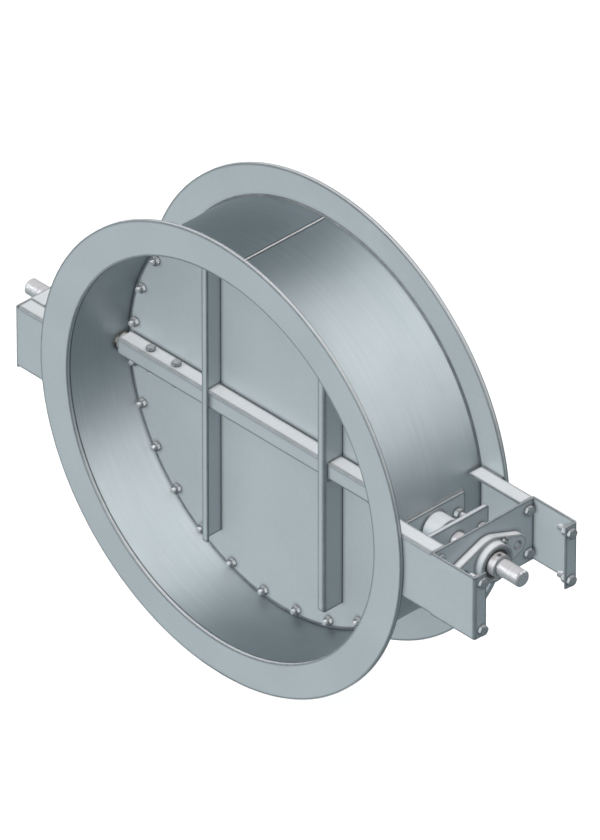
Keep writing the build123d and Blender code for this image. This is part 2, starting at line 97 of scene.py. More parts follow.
# Places read from the solids
shell_high = high_corner("casing_shell")
pad_high = high_corner("drive_stuffing_box")
arm_high = high_corner("drive_arm_front")
tube_high = high_corner("shaft_tube")
stiffener_high = high_corner("drive_side_stiffener")

casing_radius = shell_high.z
flange_inner_face = shell_high.y
flange_corners = frame["nodes"]["front_flange"].data.vertices
bore_radius = min(math.hypot(corner.co.x, corner.co.z) for corner in flange_corners)
flange_radius = high_corner("front_flange").z
blade_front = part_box("blade_plate")[0].y


# Materials

def new_material(name):
    """A material with its node tree and main shader."""
    material = bpy.data.materials.new(name)
    material.use_nodes = True
    tree = material.node_tree
    return material, tree, tree.nodes["Principled BSDF"]


def add_node(tree, kind, links=(), **values):
    """A node with some of its inputs set to values and others linked."""
    node = tree.nodes.new("ShaderNode" + kind)
    for name, value in values.items():
        node.inputs[name.replace("_", " ").title()].default_value = value
    for name, socket in dict(links).items():
        tree.links.new(socket, node.inputs[name])
    return node


def object_point(tree, stretch=(1, 1, 1)):
    """The place on the object in metres, stretched along its axes."""
    place = add_node(tree, "TexCoord").outputs["Object"]
    mapping = add_node(tree, "Mapping", {"Vector": place})
    mapping.inputs["Scale"].default_value = stretch
    return mapping.outputs["Vector"]


def remap(tree, value, known, low, high):
    """A value moved from its known range to the range from low to high, and held inside it."""
    node = add_node(
        tree, "MapRange", {"Value": value}, from_min=known[0], from_max=known[1], to_min=low, to_max=high
    )
    return node.outputs["Result"]


# What the noise reaches, how far normals agree over a sharp edge and off it, and how open a corner
# and a plain face are
NOISE_RANGE = (0.3, 0.7)
EDGE_RANGE = (0.985, 0.9995)
OPEN_RANGE = (0.25, 0.9)
MASK_SAMPLES = 4


def cloud(tree, scale, low, high, detail=3.0, stretch=(1, 1, 1)):
    """Soft noise between two values, with scale in features per metre."""
    noise = add_node(tree, "TexNoise", {"Vector": object_point(tree, stretch)}, scale=scale, detail=detail)
    return remap(tree, noise.outputs["Fac"], NOISE_RANGE, low, high)


def edge_mask(tree, radius, strength):
    """At full strength on sharp outer and inner edges, and 0 on open faces."""
    bevel = add_node(tree, "Bevel", radius=radius)
    bevel.samples = MASK_SAMPLES
    plain = add_node(tree, "NewGeometry")
    agree = add_node(tree, "VectorMath", {0: bevel.outputs["Normal"], 1: plain.outputs["Normal"]})
    agree.operation = "DOT_PRODUCT"
    return remap(tree, agree.outputs["Value"], EDGE_RANGE, strength, 0.0)


def painted_corner_shade(tree, reach, strength):
    """Painted shade: strongest deep in corners and gaps, and 0 in the open."""
    shade = add_node(tree, "AmbientOcclusion", distance=reach)
    shade.samples = MASK_SAMPLES
    return remap(tree, shade.outputs["AO"], OPEN_RANGE, strength, 0.0)


def blend_colours(tree, share, first, second):
    """A colour between two, each of them a fixed colour or another node's colour."""
    mix = tree.nodes.new("ShaderNodeMix")
    mix.data_type = "RGBA"
    tree.links.new(share, mix.inputs["Factor"])
    for index, colour in ((6, first), (7, second)):
        if isinstance(colour, tuple):
            mix.inputs[index].default_value = (*colour, 1.0)
        else:
            tree.links.new(colour, mix.inputs[index])
    return mix.outputs[2]


def product(tree, first, second):
    """Two values multiplied."""
    node = add_node(tree, "Math", {0: first, 1: second})
    node.operation = "MULTIPLY"
    return node.outputs["Value"]


def bump(tree, shader, height, depth, strength=1.0):
    """Raises the surface by a height pattern of that depth in metres."""
    node = add_node(tree, "Bump", {"Height": height}, strength=strength, distance=depth)
    tree.links.new(node.outputs["Normal"], shader.inputs["Normal"])


# The near black of worn edges and of the painted shade in corners
WEAR_AND_SHADE_DARK = (0.03, 0.042, 0.048)


def coated_steel(name, light, deep):
    """Grey coating on steel: faint clouds, orange peel, painted shade in corners, and dark where edges thin
    it.
    """
    material, tree, shader = new_material(name)
    body = blend_colours(tree, cloud(tree, 7, 0.0, 1.0, 4), deep, light)
    speckled = blend_colours(tree, cloud(tree, 240, 0.0, 0.12, 2), body, (0.52, 0.57, 0.59))
    wear = product(tree, edge_mask(tree, 4.6 * MM, 1.0), cloud(tree, 60, 0.85, 1.0, 3))
    worn = blend_colours(tree, wear, speckled, WEAR_AND_SHADE_DARK)
    # Painted shade: near black deep in corners and gaps
    corner_shaded = blend_colours(tree, painted_corner_shade(tree, 7 * MM, 0.9), worn, WEAR_AND_SHADE_DARK)
    tree.links.new(corner_shaded, shader.inputs["Base Color"])
    tree.links.new(cloud(tree, 34, 0.37, 0.49, 3), shader.inputs["Roughness"])
    shader.inputs["Metallic"].default_value = 0.15
    shader.inputs["Coat Weight"].default_value = 0.12
    shader.inputs["Coat Roughness"].default_value = 0.3
    bump(tree, shader, cloud(tree, 900, 0.0, 1.0, 2), 0.06 * MM, 0.5)
    return material


def rolled_steel(name, light, deep):
    """The casing's metallic sheet, which shows the drawing's streaks, with faint lines from rolling."""
    material, tree, shader = new_material(name)
    lines = cloud(tree, 5, 0.0, 1.0, 4, (1, 70, 1))
    body = blend_colours(tree, cloud(tree, 5, 0.0, 1.0, 4), deep, light)
    lined = blend_colours(tree, product(tree, lines, cloud(tree, 12, 0.0, 0.22)), body, (0.40, 0.45, 0.47))
    # Painted shade: near black deep in corners and gaps
    corner_shaded = blend_colours(tree, painted_corner_shade(tree, 7 * MM, 0.85), lined, WEAR_AND_SHADE_DARK)
    tree.links.new(corner_shaded, shader.inputs["Base Color"])
    tree.links.new(cloud(tree, 8, 0.46, 0.52, 4, (1, 30, 1)), shader.inputs["Roughness"])
    shader.inputs["Metallic"].default_value = 1.0
    bump(tree, shader, lines, 0.012 * MM, 0.4)
    return material


def turned_steel(name, colour, roughness=0.24):
    """Bright steel turned about the shaft axis, with fine tool lines across X."""
    material, tree, shader = new_material(name)
    lines = cloud(tree, 12, 0.0, 1.0, 3, (170, 1, 1))
    tool_marks = product(tree, lines, cloud(tree, 25, 0.2, 0.6))
    tinted = blend_colours(tree, tool_marks, colour, (0.34, 0.365, 0.38))
    edged = blend_colours(tree, edge_mask(tree, 1.8 * MM, 0.85), tinted, (0.08, 0.09, 0.10))
    # Painted shade: near black deep in corners and gaps
    corner_shaded = blend_colours(tree, painted_corner_shade(tree, 5 * MM, 0.8), edged, (0.04, 0.05, 0.055))
    tree.links.new(corner_shaded, shader.inputs["Base Color"])
    tree.links.new(cloud(tree, 18, roughness, roughness + 0.12, 3, (60, 1, 1)), shader.inputs["Roughness"])
    shader.inputs["Metallic"].default_value = 0.45
    bump(tree, shader, lines, 0.008 * MM, 0.5)
    return material


def machined_seat(name):
    """The seat's bare steel, bored round the duct axis."""
    material, tree, shader = new_material(name)
    lines = cloud(tree, 10, 0.0, 1.0, 3, (1, 220, 1))
    body = blend_colours(tree, lines, (0.40, 0.43, 0.45), (0.55, 0.58, 0.60))
    tree.links.new(body, shader.inputs["Base Color"])
    tree.links.new(cloud(tree, 20, 0.25, 0.4), shader.inputs["Roughness"])
    shader.inputs["Metallic"].default_value = 0.9
    bump(tree, shader, lines, 0.02 * MM, 0.5)
    return material


# The vertex values that tell a fastener's threaded shank from its head
SHANK_MARK = "shank"


def plated_steel(name):
    """Zinc plating on the fasteners, with dark edges, painted shade in corners, and lighter on the marked
    shanks.
    """
    material, tree, shader = new_material(name)
    body = blend_colours(tree, cloud(tree, 180, 0.0, 1.0, 3), (0.22, 0.255, 0.27), (0.33, 0.37, 0.39))
    warm = blend_colours(tree, cloud(tree, 90, 0.0, 0.15, 2), body, (0.40, 0.38, 0.32))
    edged = blend_colours(tree, edge_mask(tree, 1.7 * MM, 0.9), warm, (0.04, 0.05, 0.055))
    mark = add_node(tree, "Attribute")
    mark.attribute_name = SHANK_MARK
    lit = blend_colours(tree, mark.outputs["Fac"], edged, (0.50, 0.54, 0.56))
    # Painted shade: near black deep in corners and gaps
    corner_shaded = blend_colours(tree, painted_corner_shade(tree, 3 * MM, 0.9), lit, (0.015, 0.02, 0.023))
    tree.links.new(corner_shaded, shader.inputs["Base Color"])
    tree.links.new(cloud(tree, 300, 0.30, 0.45, 2), shader.inputs["Roughness"])
    shader.inputs["Metallic"].default_value = 0.5
    bump(tree, shader, cloud(tree, 1500, 0.0, 1.0, 2), 0.03 * MM, 0.4)
    return material


def sand_cast(name):
    """The bearing housings: painted grey iron with the grain of the mould."""
    material, tree, shader = new_material(name)
    grain = cloud(tree, 700, 0.0, 1.0, 4)
    body = blend_colours(tree, cloud(tree, 30, 0.0, 1.0, 4), (0.34, 0.39, 0.41), (0.44, 0.49, 0.51))
    grained = blend_colours(tree, product(tree, grain, cloud(tree, 40, 0.1, 0.3)), body, (0.24, 0.28, 0.30))
    edged = blend_colours(tree, edge_mask(tree, 4.0 * MM, 0.9), grained, (0.05, 0.065, 0.07))
    # Painted shade: near black deep in corners and gaps
    corner_shaded = blend_colours(tree, painted_corner_shade(tree, 7 * MM, 0.85), edged, WEAR_AND_SHADE_DARK)
    tree.links.new(corner_shaded, shader.inputs["Base Color"])
    tree.links.new(cloud(tree, 120, 0.42, 0.6), shader.inputs["Roughness"])
    shader.inputs["Metallic"].default_value = 0.1
    bump(tree, shader, grain, 0.22 * MM, 0.7)
    return material


def moulded_rubber(name):
    """Black rubber of the gasket and seals, faintly dusty."""
    material, tree, shader = new_material(name)
    body = blend_colours(tree, cloud(tree, 40, 0.0, 1.0, 4), (0.016, 0.017, 0.018), (0.040, 0.042, 0.044))
    tree.links.new(body, shader.inputs["Base Color"])
    tree.links.new(cloud(tree, 150, 0.55, 0.75), shader.inputs["Roughness"])
    bump(tree, shader, cloud(tree, 1200, 0.0, 1.0, 2), 0.05 * MM, 0.5)
    return material


def bearing_bronze(name):
    """Bronze of the throat bushes, dulled in patches."""
    material, tree, shader = new_material(name)
    body = blend_colours(tree, cloud(tree, 120, 0.0, 1.0, 4), (0.155, 0.150, 0.142), (0.23, 0.222, 0.208))
    tree.links.new(body, shader.inputs["Base Color"])
    tree.links.new(cloud(tree, 200, 0.25, 0.45), shader.inputs["Roughness"])
    shader.inputs["Metallic"].default_value = 1.0
    bump(tree, shader, cloud(tree, 15, 0.0, 1.0, 2, (200, 1, 1)), 0.02 * MM, 0.5)
    return material


def braided_packing(name):
    """Graphited packing: crossing strands about 1.5 mm wide."""
    material, tree, shader = new_material(name)
    strands = []
    for tilt in (45, -45):
        place = add_node(tree, "Mapping", {"Vector": object_point(tree)})
        place.inputs["Rotation"].default_value = (0, 0, math.radians(tilt))
        wave = add_node(tree, "TexWave", {"Vector": place.outputs["Vector"]}, scale=200, distortion=0.6)
        strands.append(wave.outputs["Fac"])
    weave = product(tree, *strands)
    body = blend_colours(tree, weave, (0.03, 0.03, 0.032), (0.16, 0.16, 0.155))
    tree.links.new(body, shader.inputs["Base Color"])
    tree.links.new(cloud(tree, 300, 0.5, 0.75), shader.inputs["Roughness"])
    bump(tree, shader, weave, 0.3 * MM, 0.8)
    return material


finishes = {
    "casing_coating": coated_steel("grey_coating", (0.375, 0.435, 0.455), (0.345, 0.40, 0.42)),
    "blade_coating": coated_steel("blade_grey_coating", (0.385, 0.445, 0.465), (0.355, 0.41, 0.43)),
    "seat_steel": machined_seat("bored_seat_steel"),
    "bright_steel": turned_steel("turned_bright_steel", (0.46, 0.485, 0.50)),
    "cast_housing": sand_cast("painted_casting"),
    "zinc_fasteners": plated_steel("zinc_plating"),
    "seal_rubber": moulded_rubber("black_rubber"),
    "bush_bronze": bearing_bronze("bush_bronze"),
    "packing_braid": braided_packing("graphited_braid"),
}
casing_finish = rolled_steel("rolled_casing_sheet", (0.29, 0.335, 0.35), (0.25, 0.29, 0.305))
seam_finish = turned_steel("ground_seam", (0.60, 0.63, 0.645), 0.35)

slot_of_node = {part["node"]: part["material_slot"] for part in frame["record"]["subparts"]}

for node, carried in frame["nodes"].items():
    finish = finishes[slot_of_node[node]]
    if node == "casing_shell":
        finish = casing_finish
    carried.data.materials.clear()
    carried.data.materials.append(finish)


# Mesh building

def placed(origin, x_dir, z_dir):
    """The matrix that puts a piece built round its own Z at a place, pointing along z_dir."""
    z = Vector(z_dir).normalized()
    x = Vector(x_dir).normalized()
    turned = Matrix((x, z.cross(x), z)).transposed().to_4x4()
    turned.translation = Vector(origin)
    return turned


def add_rings(bm, place, rings, closed=False, shank_from=None):
    """Skins a row of rings of points, with its two ends capped, or joined where it is closed."""
    if shank_from is not None:
        floats = bm.verts.layers.float
        mark = floats.get(SHANK_MARK) or floats.new(SHANK_MARK)
    rows = [[bm.verts.new(place @ Vector(point)) for point in ring] for ring in rings]
    if shank_from is not None:
        for row in rows[shank_from:]:
            for corner in row:
                corner[mark] = 1.0
    pairs = list(zip(rows, rows[1:]))
    if closed:
        pairs.append((rows[-1], rows[0]))
    for below, above in pairs:
        for i in range(len(below)):
            j = (i + 1) % len(below)
            bm.faces.new((below[i], below[j], above[j], above[i]))
    if not closed:
        bm.faces.new(rows[0][::-1])
        bm.faces.new(rows[-1])


SMOOTH_UNDER = 35.0


def keep_piece(name, bm, body, finish, replaced=(), smooth_under=SMOOTH_UNDER):
    """Makes an object of a built mesh, which rides on a body and may stand for CAD nodes."""
    bmesh.ops.recalc_face_normals(bm, faces=bm.faces)
    mesh = bpy.data.meshes.new(name)
    bm.to_mesh(mesh)
    bm.free()
    mesh.materials.append(finish)
    mesh.shade_smooth()
    mesh.set_sharp_from_angle(angle=math.radians(smooth_under))
    piece = bpy.data.objects.new(name, mesh)
    bpy.context.scene.collection.objects.link(piece)
    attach(piece, body)
    if replaced:
        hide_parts(*replaced)


def stand_for(node, name, bm, smooth_under=SMOOTH_UNDER):
    """Keeps a detailed piece in place of a CAD node, on the node's body and in its finish."""
    slot = slot_of_node[node]
    keep_piece(name, bm, frame["nodes"][node]["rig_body"], finishes[slot], [node], smooth_under)


def vector_along(axis, value):
    """A vector of that length along one of the model's axes."""
    vector = Vector((0, 0, 0))
    vector[axis] = value
    return vector


def solids_of(node):
    """The separate solids of a CAD node, each as an array of its corners."""
    bm = bmesh.new()
    bm.from_mesh(frame["nodes"][node].data)
    bmesh.ops.remove_doubles(bm, verts=bm.verts, dist=SAME_POINT)
    found, seen = [], set()
    for start in bm.verts:
        if start.index in seen:
            continue
        seen.add(start.index)
        waiting, corners = [start], []
        while waiting:
            corner = waiting.pop()
            corners.append(corner.co[:])
            for edge in corner.link_edges:
                other = edge.other_vert(corner)
                if other.index not in seen:
                    seen.add(other.index)
                    waiting.append(other)
        found.append(np.array(corners))
    bm.free()
    return found


# Fasteners

SIDES = 36
ROWS_PER_TURN = 6
# Pitch of the thread for each diameter in millimetres, and the thread's depth as a share of the pitch
PITCHES = {7.9: 1.41 * MM, 9.5: 1.5875 * MM, 11.1: 1.81 * MM}
THREAD_DEPTH = 0.54
# Shares of half a turn that lie flat on the crest or in the root, and that slope between them
FLAT_SHARE = 0.12
FLANK_SHARE = 0.76
# How fast a thread grows to its full radius from its free end
TIP_SLOPE = 0.9
CHAMFER_SLOPE = math.tan(math.radians(30))
# Radius of the round face as a share of half the width over flats, and of the ring inside it
FACE_CIRCLE = 0.95
INNER_CIRCLE = 0.55
WASHER_FACE = 0.35 * MM
# A nut's mouth as a share of its bore, and how much of the thread's depth narrows it inside
NUT_MOUTH = 1.05
NUT_THREAD = 0.3
# A stud's root end as a share of its radius, and where its thread begins
STUD_ROOT = 0.9
STUD_START = 0.01 * MM
# Corners at more than this share of the greatest reach lie on the hexagon's corners
OUTERMOST = 0.99
FLATS_PER_REACH = math.sqrt(3)


def pitch_for(radius):
    """The thread pitch of the listed diameter nearest to a radius."""
    return PITCHES[min(PITCHES, key=lambda diameter: abs(diameter * MM - 2 * radius))]


def circle(radius, z):
    """A level ring of points."""
    steps = (2 * math.pi * i / SIDES for i in range(SIDES))
    return [(radius * math.cos(a), radius * math.sin(a), z) for a in steps]


def hexagon(flats, z, slope=0.0):
    """A ring on a hexagon's outline; with a slope it climbs or falls outwards from the face circle."""
    ring = []
    apothem = flats / 2
    for i in range(SIDES):
        angle = 2 * math.pi * i / SIDES
        from_flat = angle % (math.pi / 3) - math.pi / 6
        radius = apothem / math.cos(from_flat)
        climb = slope * max(0.0, radius - FACE_CIRCLE * apothem)
        ring.append((radius * math.cos(angle), radius * math.sin(angle), z + climb))
    return ring


def thread_rings(radius, pitch, start, end):
    """Rings from start to end along Z that follow a thread, tapered in at the free end."""
    depth = THREAD_DEPTH * pitch
    count = max(2, round(abs(end - start) / pitch * ROWS_PER_TURN))
    rings = []
    for row in range(count + 1):
        z = start + (end - start) * row / count
        limit = radius - max(0.0, depth - abs(end - z) * TIP_SLOPE)
        ring = []
        for i in range(SIDES):
            angle = 2 * math.pi * i / SIDES
            phase = (z / pitch - angle / (2 * math.pi)) % 1.0
            crest = min(1.0, max(0.0, (abs(2 * phase - 1) - FLAT_SHARE) / FLANK_SHARE))
            reach = min(limit, radius - depth * (1 - crest))
            ring.append((reach * math.cos(angle), reach * math.sin(angle), z))
        rings.append(ring)
    return rings


# The rings of a bolt's head, before those of its shank
HEAD_RINGS = 7


def bolt_rings(flats, head, radius, length, threaded):
    """A hexagon bolt seated on Z 0, from the top of its head down to its tip."""
    apothem = flats / 2
    return [
        circle(FACE_CIRCLE * apothem * INNER_CIRCLE, head),
        circle(FACE_CIRCLE * apothem, head),
        hexagon(flats, head, -CHAMFER_SLOPE),
        hexagon(flats, WASHER_FACE),
        circle(FACE_CIRCLE * apothem, WASHER_FACE),
        circle(FACE_CIRCLE * apothem, 0),
        circle(radius, 0),
        *thread_rings(radius, pitch_for(radius), threaded - length, -length),
    ]


def nut_rings(flats, height, radius):
    """A hexagon nut seated on Z 0, its outside going up and its bore coming down."""
    apothem = flats / 2
    mouth = radius * NUT_MOUTH
    bore = radius - NUT_THREAD * THREAD_DEPTH * pitch_for(radius)
    return [
        circle(mouth, 0),
        circle(FACE_CIRCLE * apothem, 0),
        hexagon(flats, 0, CHAMFER_SLOPE),
        hexagon(flats, height, -CHAMFER_SLOPE),
        circle(FACE_CIRCLE * apothem, height),
        circle(mouth, height),
        circle(bore, height - (mouth - bore)),
        circle(bore, mouth - bore),
    ]


def read_fastener(corners, axis):
    """Where a hexagon fastener of the CAD model lies: its line, its hexagon and what is round."""
    middle = (corners.min(0) + corners.max(0)) / 2
    offsets = corners - middle
    offsets[:, axis] = 0
    reach = np.linalg.norm(offsets, axis=1)
    outer = reach > OUTERMOST * reach.max()
    along = corners[:, axis]
    return {
        "middle": Vector(middle),
        "corner": Vector(offsets[outer][0]).normalized(),
        "flats": float(reach.max()) * FLATS_PER_REACH,
        "hexagon": (float(along[outer].min()), float(along[outer].max())),
        "ends": (float(along.min()), float(along.max())),
        "round": float(reach[~outer].min()) if (~outer).any() else 0.0,
    }


def read_shank(corners, axis, found):
    """The radius at the end of a bolt that is away from its head, and where that end lies."""
    low, high = found["ends"]
    tip = low if found["hexagon"][1] > (low + high) / 2 else high
    at_tip = np.abs(corners[:, axis] - tip) < SAME_POINT
    offsets = corners[at_tip] - np.array(found["middle"])
    offsets[:, axis] = 0
    return float(np.linalg.norm(offsets, axis=1).max()), tip


def on_line(middle, axis, value):
    """The point at a value along the axis, on the line of a fastener with that middle."""
    point = Vector(middle)
    point[axis] = value
    return point


def build_bolts(node, axis, thread):
    """Detailed bolts in place of a CAD node of plain ones."""
    bm = bmesh.new()
    for corners in solids_of(node):
        found = read_fastener(corners, axis)
        radius, tip = read_shank(corners, axis, found)
        low, high = found["hexagon"]
        outward = 1 if tip < low else -1
        seat_value, top_value = (low, high) if outward > 0 else (high, low)
        seat = on_line(found["middle"], axis, seat_value)
        place = placed(seat, found["corner"], vector_along(axis, outward))
        head, length = abs(top_value - seat_value), abs(tip - seat_value)
        rings = bolt_rings(found["flats"], head, radius, length, min(thread, length))
        add_rings(bm, place, rings, shank_from=HEAD_RINGS)
    stand_for(node, f"{node}_threaded", bm)


def build_nuts(node, axis):
    """Detailed nuts in place of a CAD node of plain ones."""
    bm = bmesh.new()
    for corners in solids_of(node):
        found = read_fastener(corners, axis)
        low, high = found["hexagon"]
        seat = on_line(found["middle"], axis, low)
        place = placed(seat, found["corner"], vector_along(axis, 1))
        add_rings(bm, place, nut_rings(found["flats"], high - low, found["round"]), closed=True)
    stand_for(node, f"{node}_chamfered", bm)


def build_studs():
    """Rods along X, threaded from end to end, in place of the plain gland studs."""
    bm = bmesh.new()
    for corners in solids_of("gland_studs"):
        low, high = corners.min(0), corners.max(0)
        middle = (low + high) / 2
        radius = float(high[1] - low[1]) / 2
        outward = 1 if middle[0] > 0 else -1
        root = on_line(middle, 0, low[0] if outward > 0 else high[0])
        rings = [
            circle(radius * STUD_ROOT, 0),
            *thread_rings(radius, pitch_for(radius), STUD_START, abs(high[0] - low[0])),
        ]
        add_rings(bm, placed(root, Z_AXIS, X_AXIS * outward), rings, shank_from=0)
    stand_for("gland_studs", "gland_studs_threaded", bm)


# Each node with the axis that its fasteners lie along and, for bolts, the length of their thread
for node, axis, thread in (
    ("rim_bolts", 1, 14 * MM),
    ("beam_bolts", 2, 14 * MM),
    ("bearing_plate_bolts", 0, 16 * MM),
    ("bearing_bolts", 0, 12 * MM),
    ("actuator_bolts", 0, 20 * MM),
):
    build_bolts(node, axis, thread)
for node, axis in (
    ("rim_nuts", 1),
    ("beam_nuts", 2),
    ("gland_nuts", 0),
    ("bearing_plate_nuts", 0),
    ("actuator_nuts", 0),
):
    build_nuts(node, axis)
build_studs()


# Bearings

CAST_VOXEL = 0.9 * MM
CAST_SOFTNESS = 0.5
CAST_PASSES = 4
CAST_SMOOTH_UNDER = 60.0


def round_casting(name, node):
    """A copy of a cast node with the soft edges and corners of a casting."""
    bm = bmesh.new()
    bm.from_mesh(frame["nodes"][node].data)
    bmesh.ops.remove_doubles(bm, verts=bm.verts, dist=SAME_POINT)
    mesh = bpy.data.meshes.new(name + "_raw")
    bm.to_mesh(mesh)
    bm.free()
    raw = bpy.data.objects.new(name + "_raw", mesh)
    bpy.context.scene.collection.objects.link(raw)
    remesh = raw.modifiers.new("rebuild", "REMESH")
    remesh.mode = "VOXEL"
    remesh.voxel_size = CAST_VOXEL
    soften = raw.modifiers.new("soften", "SMOOTH")
    soften.factor = CAST_SOFTNESS
    soften.iterations = CAST_PASSES
    softened = raw.evaluated_get(bpy.context.evaluated_depsgraph_get())
    rounded = bpy.data.meshes.new_from_object(softened)
    bpy.data.objects.remove(raw)
    bm = bmesh.new()
    bm.from_mesh(rounded)
    stand_for(node, name, bm, CAST_SMOOTH_UNDER)


round_casting("drive_bearing_casting", "drive_bearing_housing")
round_casting("idler_bearing_casting", "idler_bearing_housing")

NIPPLE_ANGLE = math.radians(50)
# Radii as shares of the hexagon's width: stem end, stem top and the round faces of the hexagon
NIPPLE_STEM_END, NIPPLE_STEM, NIPPLE_FACE = 0.32, 0.36, 0.46
# The neck, the ball and the mouth: radii as before, and heights as shares of the way up to the top
NIPPLE_PROFILE = (
    (0.34, 0.10),
    (0.30, 0.35),
    (0.38, 0.50),
    (0.44, 0.62),
    (0.40, 0.80),
    (0.26, 0.94),
    (0.16, 1.0),
    (0.12, 0.9),
)


def build_nipples():
    """Grease nipples: a hexagon, a neck and a ball with a small mouth sunk in its top."""
    bm = bmesh.new()
    direction = Vector((0, math.cos(NIPPLE_ANGLE), math.sin(NIPPLE_ANGLE)))
    for corners in solids_of("grease_nipples"):
        x = float((corners[:, 0].min() + corners[:, 0].max()) / 2)
        along = corners @ np.array(direction)
        off = corners - np.outer(along, np.array(direction))
        off[:, 0] -= x
        reach = np.linalg.norm(off, axis=1)
        on_hexagon = along[reach > OUTERMOST * reach.max()]
        seat, hexagon_top = on_hexagon.min(), on_hexagon.max()
        flats = float(reach.max()) * FLATS_PER_REACH
        rise = float(along.max() - hexagon_top)
        place = placed(Vector((x, 0, 0)) + direction * float(seat), X_AXIS, direction)
        hexagon_height = float(hexagon_top - seat)
        rings = [
            circle(NIPPLE_STEM_END * flats, float(along.min() - seat)),
            circle(NIPPLE_STEM * flats, 0),
            circle(NIPPLE_FACE * flats, 0),
            hexagon(flats, 0, CHAMFER_SLOPE),
            hexagon(flats, hexagon_height, -CHAMFER_SLOPE),
            circle(NIPPLE_FACE * flats, hexagon_height),
        ]
        for share, height in NIPPLE_PROFILE:
            rings.append(circle(share * flats, hexagon_height + rise * height))
        add_rings(bm, place, rings)
    stand_for("grease_nipples", "grease_nipples_turned", bm)


# A set screw's point as shares of its radius, across and along, then its chamfer and its socket
POINT_SHARE = 0.8
POINT_HEIGHT = 0.2
SCREW_CHAMFER = 0.4 * MM
SOCKET_SHARE = 0.5
SOCKET_DEPTH = 2.2 * MM


def build_set_screws():
    """Socket set screws in the inner rings, with a hexagon socket in each."""
    bm = bmesh.new()
    for corners in solids_of("bearing_set_screws"):
        low, high = corners.min(0), corners.max(0)
        middle = (low + high) / 2
        axis = 1 if middle[1] > middle[2] else 2
        radius = float(high[0] - low[0]) / 2
        root = on_line(middle, axis, low[axis])
        height = float(high[axis] - low[axis])
        socket = 2 * radius * SOCKET_SHARE
        rings = [
            circle(radius * POINT_SHARE, 0),
            circle(radius, radius * POINT_HEIGHT),
            circle(radius, height - SCREW_CHAMFER),
            circle(radius - SCREW_CHAMFER, height),
            hexagon(socket, height),
            hexagon(socket, height - SOCKET_DEPTH),
        ]
        add_rings(bm, placed(root, X_AXIS, vector_along(axis, 1)), rings)
    stand_for("bearing_set_screws", "set_screws_socketed", bm)


build_nipples()
build_set_screws()


# Welds

RIPPLE = 3.2 * MM
RIPPLE_ROWS = 4
RIPPLE_DEPTH = 0.10
RIPPLE_CHANCE = 0.15
# A fillet weld's section as shares of its leg, and the points of its face that ripple
BEAD_FACE = ((-0.15, -0.15), (1.0, -0.1), (0.86, 0.34), (0.62, 0.62), (0.34, 0.86), (-0.1, 1.0))
RIPPLED_POINTS = (2, 3, 4)


def bead_ring(corner, u, v, leg, phase):
    """The section of a fillet weld: its corner, its two toes and a full face between them."""
    swell = 1 - RIPPLE_DEPTH * phase
    ring = []
    for index, (a, b) in enumerate(BEAD_FACE):
        size = leg * (swell if index in RIPPLED_POINTS else 1.0)
        ring.append(corner + u * (a * size) + v * (b * size))
    return ring


def ripple_phase(index):
    """How far a row lies from the crest of its ripple: 0 on the crest and 1 in the valley."""
    return (index % RIPPLE_ROWS) / (RIPPLE_ROWS - 1)


def add_bead(bm, stations, leg, closed=False):
    """A rippled bead through stations, each a corner point with its two toe directions."""
    rings = []
    for index, (corner, u, v) in enumerate(stations):
        phase = ripple_phase(index) + random.uniform(-RIPPLE_CHANCE, RIPPLE_CHANCE)
        rings.append(bead_ring(corner, u, v, leg, phase))
    add_rings(bm, Matrix.Identity(4), rings, closed)


def straight_stations(start, end, u, v):
    """Stations along a straight corner."""
    count = max(2, round((end - start).length / RIPPLE * RIPPLE_ROWS))
    return [(start.lerp(end, i / count), u, v) for i in range(count + 1)]


def rows_round(radius):
    """How many rows a bead round a circle has: whole ripples only, so that its ends meet."""
    return round(2 * math.pi * radius / RIPPLE) * RIPPLE_ROWS


def round_stations(centre, radius, axis_dir, along):
    """Stations round a circle about an axis, with toes outwards and along the axis."""
    side = axis_dir.orthogonal().normalized()
    other = axis_dir.cross(side)
    count = rows_round(radius)
    stations = []
    for i in range(count):
        angle = 2 * math.pi * i / count
        out = side * math.cos(angle) + other * math.sin(angle)
        stations.append((centre + out * radius, out, along))
    return stations


FLANGE_LEG = 3.0 * MM
ARM_LEG = 3.2 * MM
PAD_LEG = 3.0 * MM
STITCH_LEG = 2.6 * MM
STITCH_LENGTH = 28 * MM
STITCH_COUNT = 4
TUBE_STITCHES = (-0.235, -0.17, -0.06, 0.0, 0.06, 0.17, 0.235)
TUBE_STITCH_LEG = 3.6 * MM
TUBE_TOE = 1.5 * MM
# How far the arms' beads lie inside the arms' edges
ARM_LAP = 1.2 * MM
# The wall of the stiffeners, and how far past the tube their rows of stitches begin
STIFFENER_WALL = 3.0 * MM
STITCH_ROOM = 6 * MM
# The low root of the flange welds that shows in the bore, with its section as shares of both sizes
ROOT_WIDTH = 1.8 * MM
ROOT_HEIGHT = 0.6 * MM
ROOT_SECTION = ((-0.5, -0.5), (-0.5, 0.1), (-0.25, 0.8), (0.0, 1.0), (0.25, 0.8), (0.5, 0.1), (0.5, -0.5))

casing_slot = "casing_coating"
weld_finish = finishes[casing_slot]
# A near-black finish that paints the shade along the seam's toes
toe_shade_finish = coated_steel("seam_toe_shade", (0.030, 0.038, 0.042), (0.018, 0.024, 0.027))
root_finish = coated_steel("root_bead", (0.13, 0.16, 0.17), (0.09, 0.115, 0.125))


